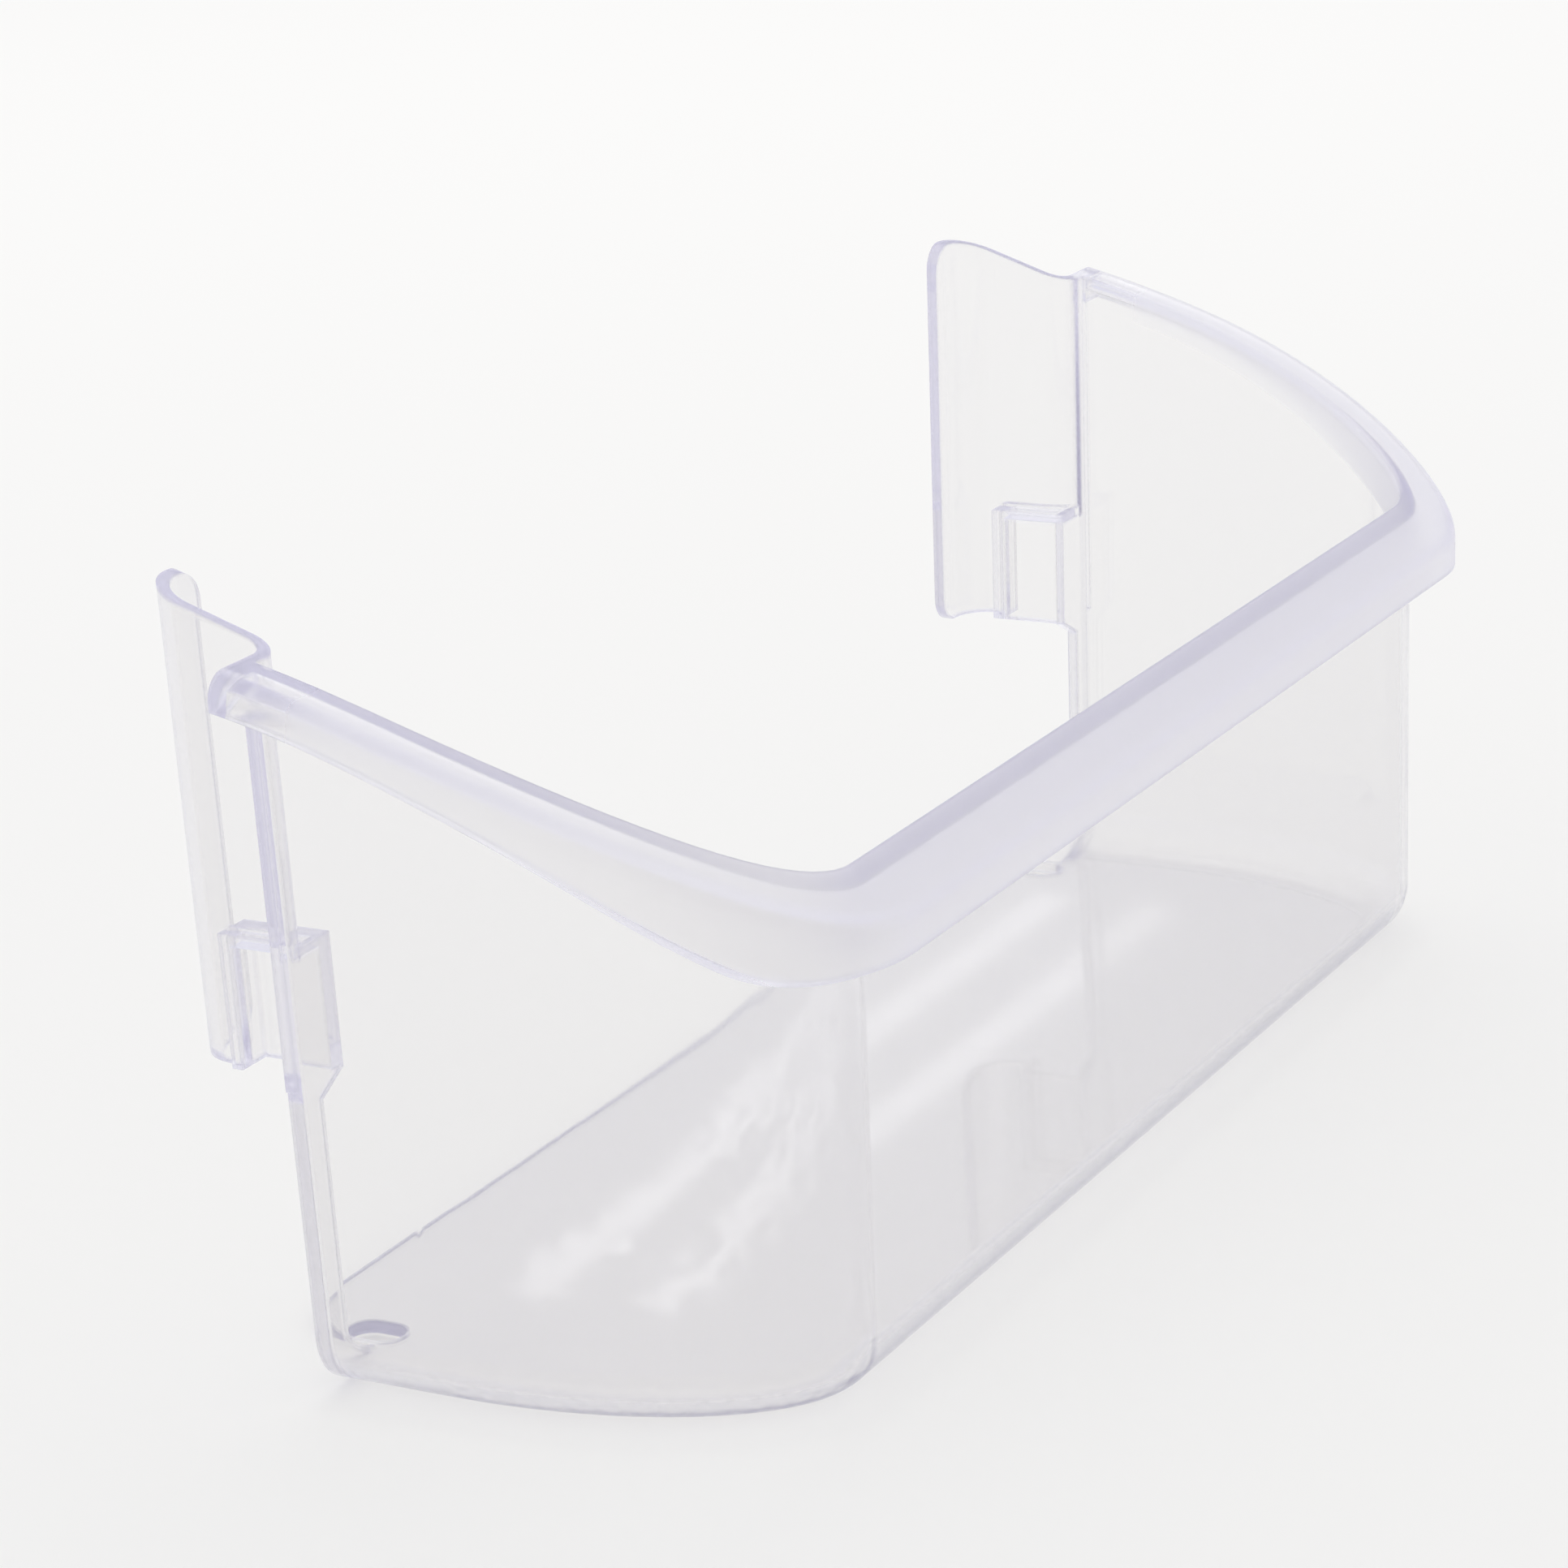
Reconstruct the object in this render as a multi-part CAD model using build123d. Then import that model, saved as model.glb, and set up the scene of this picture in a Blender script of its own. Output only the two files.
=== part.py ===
"""A clear moulded fridge door shelf: an open-backed bin with a rolled rim and two hook flanges."""
from build123d import *
from math import asin, cos, degrees, isclose, radians, sin, tan
import os

# Bin walls, in millimetres and degrees, measured at floor level
half_width = 173.0       # middle plane to the outer face of a side wall
front_depth = 98.3       # rear face of the return strips to the outer face of the front wall
side_draft = 2.4         # outward lean of the side walls
front_draft = 0.8        # outward lean of the front wall
corner_width = 37.8      # front corner, an ellipse quarter, across the bin
corner_depth = 72.9      # the same ellipse, front to back
wall = 2.4               # every wall, strip and flange
floor_thickness = 2.6
bottom_radius = 12.0     # outer rounding between the walls and the floor

# Rolled rim, which falls to the front in a long arc and hangs outside the walls as a lip
rim_height = 145.2       # crown of the rim at the rear face of the strips
rim_rear_slope = 14.0    # slope of the crown where it starts at the rear
rim_sweep = 352.0        # radius of the crown's fall, seen from the side
lip_reach = 10.4         # outer face of the wall to the outer face of the lip
lip_wall = 3.2
lip_radius = 5.0         # rounding of the crown towards the outside
rim_inner_bevel = 0.6    # bevel of the crown towards the inside
lip_rear_drop = 6.8      # height of the lip below the crown, at its rear end
lip_front_drop = 15.2    # height of the lip below the crown, along the front
lip_rear_slope = 12.0    # slope of the lower edge where it starts at the rear
lip_steep_slope = 36.0   # slope of the lower edge on its way down to the front
lip_rear_sweep = 190.0   # radius of the lower edge along the sides
lip_front_sweep = 28.0   # radius of the lower edge where it levels out

# Return strips that face the door, one at each rear edge
strip_width = 8.5        # outer face of the side wall to the free edge of a strip, at floor level
strip_lean = 2.1         # outward lean of that free edge
strip_foot_radius = 9.0

# Hook flanges above the strips' lower half
flange_reach = 16.5      # free edge of a strip to the free edge of its flange
flange_depth = 28.0      # rear face of the strips to the rear face of a flange
flange_bottom = 62.0
flange_bend = 4.6        # radius where a strip turns back into its flange, on its rear face
flange_curl = 10.0       # radius where the flange turns in again, on its outer face
flange_top_slope = 19.0  # rise of the flange's upper edge towards the door
flange_corner_radius = 6.0

# Lug pockets, open downwards and outwards, one in each flange
pocket_inset = 7.5       # how far the pocket stands in from the flange's leg
pocket_depth = 16.5      # rear face of the strips to the rear face of the pocket
pocket_top = 89.0
pocket_ramp = 4.0        # height of the slant below the pocket's inner wall

# Floor behind the strips
tongue_inset = 10.5      # free edge of a strip to the end of the tongue
tongue_depth = 22.6
tongue_radius = 22.0
drain_inset = 6.2        # end of the tongue to the middle of a drain hole
drain_width = 8.2
drain_front = -3.0       # front and rear ends of a drain hole, from the strips' rear face
drain_rear = 9.0

# Room for the cutting solids beyond the bin
run_out = 60.0

corner_x = half_width - corner_width
corner_y = front_depth - corner_depth
strip_edge = half_width - strip_width
flange_edge = strip_edge - flange_reach
tongue_half_width = strip_edge - tongue_inset
drain_middle = tongue_half_width - drain_inset
lean = tan(radians(strip_lean))
top_level = rim_height + run_out
front_turn = asin(sin(radians(rim_rear_slope)) + front_depth / rim_sweep)
crown_fall = rim_sweep * (cos(radians(rim_rear_slope)) - cos(front_turn))
lip_front_level = rim_height - crown_fall - lip_front_drop
side_view = Plane(origin=(0, 0, 0), x_dir=(0, 1, 0), z_dir=(1, 0, 0))
leaning_plane = Plane.XY.rotated((0, strip_lean, 0))


def outline(level, grow):
    """Plan of a wall surface at one height, moved outward by grow and run back past the strips."""
    across = grow + level * tan(radians(side_draft))
    along = grow + level * tan(radians(front_draft))
    left = EllipticalCenterArc(
        (-corner_x, -corner_y), corner_width + across, corner_depth + along, 180, arc_size=90)
    right = EllipticalCenterArc(
        (corner_x, -corner_y), corner_width + across, corner_depth + along, 270, arc_size=90)
    back_left = (-half_width - across, run_out)
    back_right = (half_width + across, run_out)
    edges = [
        Line(back_left, left @ 0), left, Line(left @ 1, right @ 0), right,
        Line(right @ 1, back_right), Line(back_right, back_left)]
    return Pos(0, 0, level) * make_face(edges)


def block(grow, low, high):
    """Solid inside the drafted wall surface that is moved outward by grow."""
    return loft([outline(low, grow), outline(high, grow)], ruled=True)


def front_edges(face):
    """Edges of a face, apart from the one far behind the strips."""
    return face.edges().sort_by(Axis.Y)[:-1]


def rounded_block(grow, low, radius):
    """The same solid with its lower edge rounded."""
    solid = block(grow, low, top_level)
    return fillet(front_edges(solid.faces().sort_by(Axis.Z)[0]), radius)


def above_rim(drop):
    """Solid over the rim and the flanges, whose side view is a straight rise behind a long falling arc."""
    start = Vector(0, rim_height - drop)
    behind = start + Vector(run_out, run_out * tan(radians(flange_top_slope)))
    last_turn = asin(sin(radians(rim_rear_slope)) + (front_depth + run_out) / rim_sweep)
    fall = JernArc(
        start, Vector(-1, 0).rotate(Axis.Z, rim_rear_slope), rim_sweep, degrees(last_turn) - rim_rear_slope)
    over_front = Vector((fall @ 1).X, 2 * top_level)
    over_behind = Vector(behind.X, 2 * top_level)
    edges = [
        Line(behind, start), fall, Line(fall @ 1, over_front), Line(over_front, over_behind),
        Line(over_behind, behind)]
    return extrude(side_view * make_face(edges), half_width + run_out, both=True)


def crown(solid):
    """Upper face of a solid that was cut off by the rim's arc."""
    rounds = solid.faces().filter_by(GeomType.CYLINDER)
    return rounds.filter_by(lambda face: isclose(face.radius, rim_sweep)).sort_by(Axis.Z)[-1]


def in_front(solid, gap=0.0):
    """What lies in front of the strips' rear face, or of a plane that is a gap ahead of it."""
    return split(solid, bisect_by=Plane.XZ.offset(gap), keep=Keep.TOP)


def lip_underside():
    """Solid below the lower edge of the lip, whose side view is two arcs joined by a straight run."""
    rear = Vector(0, rim_height - lip_rear_drop)
    start = Vector(-1, 0).rotate(Axis.Z, lip_rear_slope)
    steep = Vector(-1, 0).rotate(Axis.Z, lip_steep_slope)
    side_arc = JernArc(rear, start, lip_rear_sweep, lip_steep_slope - lip_rear_slope)
    levelling = lip_front_sweep * tan(radians(lip_steep_slope / 2))
    knee_drop = (side_arc @ 1).Y - lip_front_level
    knee = side_arc @ 1 + steep * (knee_drop / -steep.Y)
    front_start = knee - steep * levelling
    front_arc = JernArc(front_start, steep, lip_front_sweep, -lip_steep_slope)
    front = Vector(-2 * front_depth, lip_front_level)
    behind = Vector(run_out, rim_height)
    edges = [
        Line(behind, rear), side_arc, Line(side_arc @ 1, front_start), front_arc, Line(front_arc @ 1, front),
        Line(front, (front.X, 0)), Line((front.X, 0), (behind.X, 0)), Line((behind.X, 0), behind)]
    return extrude(side_view * make_face(edges), half_width + run_out, both=True)


def rim_cap():
    """The rim before it is opened: a sloping cap with closed ends, and the lip as its skirt."""
    low = lip_front_level / 2
    cap = in_front(block(lip_reach, low, top_level)) - above_rim(0)
    cap = fillet(front_edges(crown(cap)), lip_radius)
    room = block(lip_reach - lip_wall, low / 2, top_level) - above_rim(lip_wall)
    return cap - in_front(room, wall) - lip_underside()


def opened_bin():
    """The bin with its rim, closed at the rear by a wall that the strips are cut from."""
    closed = rim_cap() + in_front(rounded_block(0, 0, bottom_radius) - above_rim(lip_wall / 2))
    inside = rounded_block(-wall, floor_thickness, bottom_radius - wall)
    shell = closed - in_front(inside, wall)
    outside = block(0, 0, top_level).solid()
    inner = [
        edge for edge in crown(shell).edges()
        if outside.is_inside(edge @ 0.5) and edge.center().Y < -2 * wall]
    return chamfer(inner, rim_inner_bevel)


def strip_window():
    """Side of the opening between the strips, seen from the rear: foot, free edge, pocket and bend."""
    def edge_at(level, inset=0.0):
        return ((strip_edge - inset) / cos(radians(strip_lean)) + level * lean, level)

    ramp_level = flange_bottom - pocket_ramp
    leg_level = pocket_top - wall
    corners = [
        (0, floor_thickness), edge_at(floor_thickness), edge_at(ramp_level),
        edge_at(flange_bottom, pocket_inset), edge_at(leg_level, pocket_inset),
        edge_at(leg_level, -flange_bend), edge_at(top_level, -flange_bend), (0, top_level)]
    face = make_face(Polyline(*corners, close=True))
    foot = face.vertices().sort_by_distance((*corners[1], 0))[0]
    return fillet(foot, strip_foot_radius)


def between_strips():
    """Opening between the strips, cut through the bin's rear wall."""
    right = extrude(Plane.XZ * strip_window(), 2 * wall, both=True)
    return right + mirror(right, Plane.YZ)


def leaning(face, low, high):
    """Upright solid on a plan face, tilted outward as the strips' free edges are, between two levels."""
    post = extrude(leaning_plane * face, top_level + run_out)
    post = split(post, bisect_by=Plane.XY.offset(low), keep=Keep.TOP)
    return split(post, bisect_by=Plane.XY.offset(high), keep=Keep.BOTTOM)


def hook_flange():
    """Right flange: it turns back from the strip, runs to the door and turns in to a free edge."""
    path = FilletPolyline(
        (strip_edge + 2 * flange_bend, 0), (strip_edge, 0), (strip_edge, flange_depth),
        (flange_edge, flange_depth), radius=[flange_bend, flange_curl])
    plan = make_face(offset(path, amount=wall, side=Side.LEFT))
    flange = leaning(plan, flange_bottom, top_level) - above_rim(0)
    free_edge = flange.faces().sort_by(Axis.X)[0].edges().sort_by(Axis.Z)
    return fillet([free_edge[0], free_edge[-1]], flange_corner_radius)


def lug_pocket():
    """Right pocket's walls: an inner wall, a rear wall and a ceiling, with the strip as its front."""
    inner = strip_edge - pocket_inset
    plan = Pos(inner, -wall) * Rectangle(
        pocket_inset + wall, pocket_depth + wall, align=(Align.MIN, Align.MIN))
    return leaning(plan, flange_bottom, pocket_top)


def lug_room():
    """Room for the door's lug inside the right pocket."""
    inner = strip_edge - pocket_inset + wall
    plan = Pos(inner, 0) * Rectangle(
        pocket_inset + run_out, pocket_depth - wall, align=(Align.MIN, Align.MIN))
    return leaning(plan, 0, pocket_top - wall)


def floor_tongue():
    """Floor plate behind the strips, with its rear corners rounded."""
    plan = Rectangle(2 * tongue_half_width, tongue_depth + corner_y, align=(Align.CENTER, Align.MIN))
    plan = Pos(0, -corner_y) * plan
    plan = fillet(plan.vertices().group_by(Axis.Y)[-1], tongue_radius)
    return extrude(plan, floor_thickness)


def drain_hole():
    """Right drain hole, a slot with round ends through the floor."""
    slot = SlotOverall(drain_rear - drain_front, drain_width, rotation=90)
    return extrude(Pos(drain_middle, (drain_front + drain_rear) / 2) * slot, floor_thickness)


def shelf():
    """The whole shelf, one moulding."""
    hook = (hook_flange() + lug_pocket()) - lug_room()
    solid = opened_bin() - between_strips() + hook + mirror(hook, Plane.YZ) + floor_tongue()
    return solid - drain_hole() - mirror(drain_hole(), Plane.YZ)


def rest_on_origin(solid):
    """The same solid with its origin at the middle of its footprint, on the underside of the floor."""
    box = solid.bounding_box()
    return Pos(-box.center().X, -box.center().Y, -box.min.Z) * solid


os.makedirs("parts", exist_ok=True)
export_step(rest_on_origin(shelf()), "parts/door_shelf.step")
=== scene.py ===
"""Looks of the clear fridge door shelf: its plastic, a pale table, soft light and the photo's view."""
import math

import bpy
from mathutils import Matrix, Vector

PHOTO_PIXELS = 1932
FOCAL_PIXELS = 5718
SENSOR_MM = 36.0
VIEW_YAW, VIEW_PITCH, VIEW_ROLL = (math.radians(a) for a in (61.083, 17.308, 3.005))
EYE = Vector((-0.8286, -0.4271, 0.3647))

PLASTIC_TINT = (0.96, 0.956, 0.95, 1.0)
PLASTIC_IOR = 1.56
PLASTIC_DEPTH = (0.84, 0.825, 0.95, 1.0)
PLASTIC_DENSITY = 22.0
EDGE_RADIUS = 0.0014
GLOSS = (0.012, 0.035)
SATIN = (0.29, 0.38)
HAZE_SCALE, HAZE_DETAIL = 60.0, 1.0

# Where the satin rim lies, in metres: its lip's lower edge falls from the rim's ends along a bent line
RIM_END = 0.041
RIM_END_FADE = 0.02
LIP_END_LEVEL = 0.1384
LIP_SLOPE = 0.2195
LIP_BEND = 2.89

TABLE_WHITE = (0.92, 0.915, 0.877, 1.0)
TABLE_ROUGHNESS = 0.9
TABLE_REACH = 6.0
TABLE_GAP = 0.0004

HORIZON = (0.79, 0.795, 0.925, 1.0)
ZENITH = (0.98, 0.98, 0.97, 1.0)

OVERHEAD_PLACE = Vector((1.3, 0.8, 1.8))
OVERHEAD_SIZE = 2.0
OVERHEAD_WATTS = 6.0
TUBE_ROWS = {"tube_far": 1.92, "tube_near": 1.78}
TUBE_X = 3.45
TUBE_HEIGHT = 1.5
TUBE_LENGTH = 1.3
TUBE_WIDTH = 0.05
TUBE_WATTS = 0.115

PATH_BOUNCES = 32
VOLUME_BOUNCES = 8
DIFFUSE_BOUNCES = 4


def node(tree, kind, x, y, **settings):
    """A shader node at a place in the editor, with its input sockets set by name."""
    made = tree.nodes.new(kind)
    made.location = (x, y)
    for name, value in settings.items():
        made.inputs[name.replace("_", " ")].default_value = value
    return made


def new_material(name):
    """An empty node material and its tree."""
    material = bpy.data.materials.new(name)
    material.use_nodes = True
    material.node_tree.nodes.clear()
    return material, material.node_tree


def math_node(tree, operation, x, y, *terms):
    """A Math node whose inputs are numbers or the output sockets of other nodes."""
    made = node(tree, "ShaderNodeMath", x, y)
    made.operation = operation
    for socket, term in zip(made.inputs, terms):
        if isinstance(term, bpy.types.NodeSocket):
            tree.links.new(term, socket)
        else:
            socket.default_value = term
    return made.outputs["Value"]


def lip_zone(tree, place):
    """1 on the rolled rim and its lip, and 0 below the lip's lower edge and towards the rim's ends."""
    split = node(tree, "ShaderNodeSeparateXYZ", -2200, 500)
    tree.links.new(place.outputs["Object"], split.inputs["Vector"])
    ahead = math_node(tree, "SUBTRACT", -2000, 500, RIM_END, split.outputs["Y"])
    slope = math_node(tree, "MULTIPLY_ADD", -1800, 500, ahead, LIP_BEND, LIP_SLOPE)
    level = math_node(tree, "MULTIPLY_ADD", -1600, 500, ahead, slope, split.outputs["Z"])
    above = math_node(tree, "GREATER_THAN", -1400, 500, level, LIP_END_LEVEL)
    past_end = node(tree, "ShaderNodeMapRange", -1400, 300, From_Max=RIM_END_FADE)
    tree.links.new(ahead, past_end.inputs["Value"])
    return math_node(tree, "MULTIPLY", -1200, 400, above, past_end.outputs["Result"])


def clear_plastic():
    """Water-clear moulded plastic: glossy with a faint haze, satin on the rim, violet along its edges."""
    material, tree = new_material("clear_plastic")
    out = node(tree, "ShaderNodeOutputMaterial", 400, 0)
    shader = node(
        tree, "ShaderNodeBsdfPrincipled", 0, 0,
        Base_Color=PLASTIC_TINT, IOR=PLASTIC_IOR, Transmission_Weight=1.0)
    inside = node(
        tree, "ShaderNodeVolumePrincipled", 0, -600, Color=PLASTIC_DEPTH, Density=PLASTIC_DENSITY)
    place = node(tree, "ShaderNodeTexCoord", -2400, 0)
    haze = node(tree, "ShaderNodeTexNoise", -1000, 150, Scale=HAZE_SCALE, Detail=HAZE_DETAIL)
    gloss = node(tree, "ShaderNodeMapRange", -750, 250, To_Min=GLOSS[0], To_Max=GLOSS[1])
    satin = node(tree, "ShaderNodeMapRange", -750, 0, To_Min=SATIN[0], To_Max=SATIN[1])
    finish = node(tree, "ShaderNodeMix", -450, 200)
    rounded = node(tree, "ShaderNodeBevel", -750, -500, Radius=EDGE_RADIUS)
    tree.links.new(place.outputs["Object"], haze.inputs["Vector"])
    tree.links.new(haze.outputs["Fac"], gloss.inputs["Value"])
    tree.links.new(haze.outputs["Fac"], satin.inputs["Value"])
    tree.links.new(lip_zone(tree, place), finish.inputs["Factor"])
    tree.links.new(gloss.outputs["Result"], finish.inputs["A"])
    tree.links.new(satin.outputs["Result"], finish.inputs["B"])
    tree.links.new(finish.outputs["Result"], shader.inputs["Roughness"])
    tree.links.new(rounded.outputs["Normal"], shader.inputs["Normal"])
    tree.links.new(shader.outputs["BSDF"], out.inputs["Surface"])
    tree.links.new(inside.outputs["Volume"], out.inputs["Volume"])
    return material


def table_white():
    """Pale matt table top."""
    material, tree = new_material("table_white")
    out = node(tree, "ShaderNodeOutputMaterial", 400, 0)
    shader = node(
        tree, "ShaderNodeBsdfPrincipled", 0, 0,
        Base_Color=TABLE_WHITE, Roughness=TABLE_ROUGHNESS, Specular_IOR_Level=0.0)
    tree.links.new(shader.outputs["BSDF"], out.inputs["Surface"])
    return material


def table():
    """The flat top that the shelf stands on, far larger than the view."""
    mesh = bpy.data.meshes.new("table")
    turns = ((-1, -1), (1, -1), (1, 1), (-1, 1))
    mesh.from_pydata([(TABLE_REACH * x, TABLE_REACH * y, -TABLE_GAP) for x, y in turns], [], [(0, 1, 2, 3)])
    top = bpy.data.objects.new("table", mesh)
    bpy.context.scene.collection.objects.link(top)
    mesh.materials.append(table_white())


def studio_world():
    """Soft surroundings, as a white tent gives: bright overhead and a little violet near the horizon."""
    world = bpy.data.worlds.new("studio")
    world.use_nodes = True
    bpy.context.scene.world = world
    tree = world.node_tree
    back = tree.nodes["Background"]
    place = node(tree, "ShaderNodeTexCoord", -900, 0)
    split = node(tree, "ShaderNodeSeparateXYZ", -700, 0)
    ramp = node(tree, "ShaderNodeValToRGB", -450, 0)
    ramp.color_ramp.elements[0].color = HORIZON
    ramp.color_ramp.elements[1].color = ZENITH
    tree.links.new(place.outputs["Generated"], split.inputs["Vector"])
    tree.links.new(split.outputs["Z"], ramp.inputs["Fac"])
    tree.links.new(ramp.outputs["Color"], back.inputs["Color"])


def lamp_above(name, place, length, width, watts):
    """A rectangular lamp that faces straight down."""
    lamp = bpy.data.lights.new(name, "AREA")
    lamp.shape = "RECTANGLE"
    lamp.size = length
    lamp.size_y = width
    lamp.energy = watts
    light = bpy.data.objects.new(name, lamp)
    bpy.context.scene.collection.objects.link(light)
    light.location = place


def studio_lamps():
    """A broad soft lamp over the table, and two tubes that show as faint streaks in the clear floor."""
    lamp_above("overhead", OVERHEAD_PLACE, OVERHEAD_SIZE, OVERHEAD_SIZE, OVERHEAD_WATTS)
    for name, row in TUBE_ROWS.items():
        lamp_above(name, Vector((TUBE_X, row, TUBE_HEIGHT)), TUBE_LENGTH, TUBE_WIDTH, TUBE_WATTS)


def light_paths():
    """Enough bounces for light to find its way along the clear walls."""
    cycles = bpy.context.scene.cycles
    cycles.max_bounces = PATH_BOUNCES
    cycles.transmission_bounces = PATH_BOUNCES
    cycles.glossy_bounces = PATH_BOUNCES
    cycles.volume_bounces = VOLUME_BOUNCES
    cycles.diffuse_bounces = DIFFUSE_BOUNCES
    cycles.blur_glossy = 0.0


def camera():
    """The photo's view, from the fitted eye, turn and lens."""
    lens = bpy.data.cameras.new("camera")
    lens.sensor_width = SENSOR_MM
    lens.lens = SENSOR_MM * FOCAL_PIXELS / PHOTO_PIXELS
    eye = bpy.data.objects.new("camera", lens)
    bpy.context.scene.collection.objects.link(eye)
    forward = Vector((
        math.sin(VIEW_YAW) * math.cos(VIEW_PITCH), math.cos(VIEW_YAW) * math.cos(VIEW_PITCH),
        -math.sin(VIEW_PITCH)))
    level = Vector((math.cos(VIEW_YAW), -math.sin(VIEW_YAW), 0.0))
    down = forward.cross(level)
    right = math.cos(VIEW_ROLL) * level + math.sin(VIEW_ROLL) * down
    up = -(math.cos(VIEW_ROLL) * down - math.sin(VIEW_ROLL) * level)
    turn = Matrix((right, up, -forward)).transposed().to_4x4()
    eye.matrix_world = Matrix.Translation(EYE) @ turn
    bpy.context.scene.camera = eye


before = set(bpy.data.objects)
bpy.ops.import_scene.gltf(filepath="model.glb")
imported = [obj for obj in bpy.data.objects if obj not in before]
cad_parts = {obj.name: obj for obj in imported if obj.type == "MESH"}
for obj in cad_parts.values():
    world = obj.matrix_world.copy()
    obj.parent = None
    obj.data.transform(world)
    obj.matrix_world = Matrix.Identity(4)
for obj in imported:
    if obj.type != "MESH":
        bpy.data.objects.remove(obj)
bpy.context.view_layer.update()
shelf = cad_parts["door_shelf"]
shelf.data.materials.clear()
shelf.data.materials.append(clear_plastic())
table()
studio_world()
studio_lamps()
light_paths()
camera()
bpy.context.scene.view_settings.view_transform = "Standard"
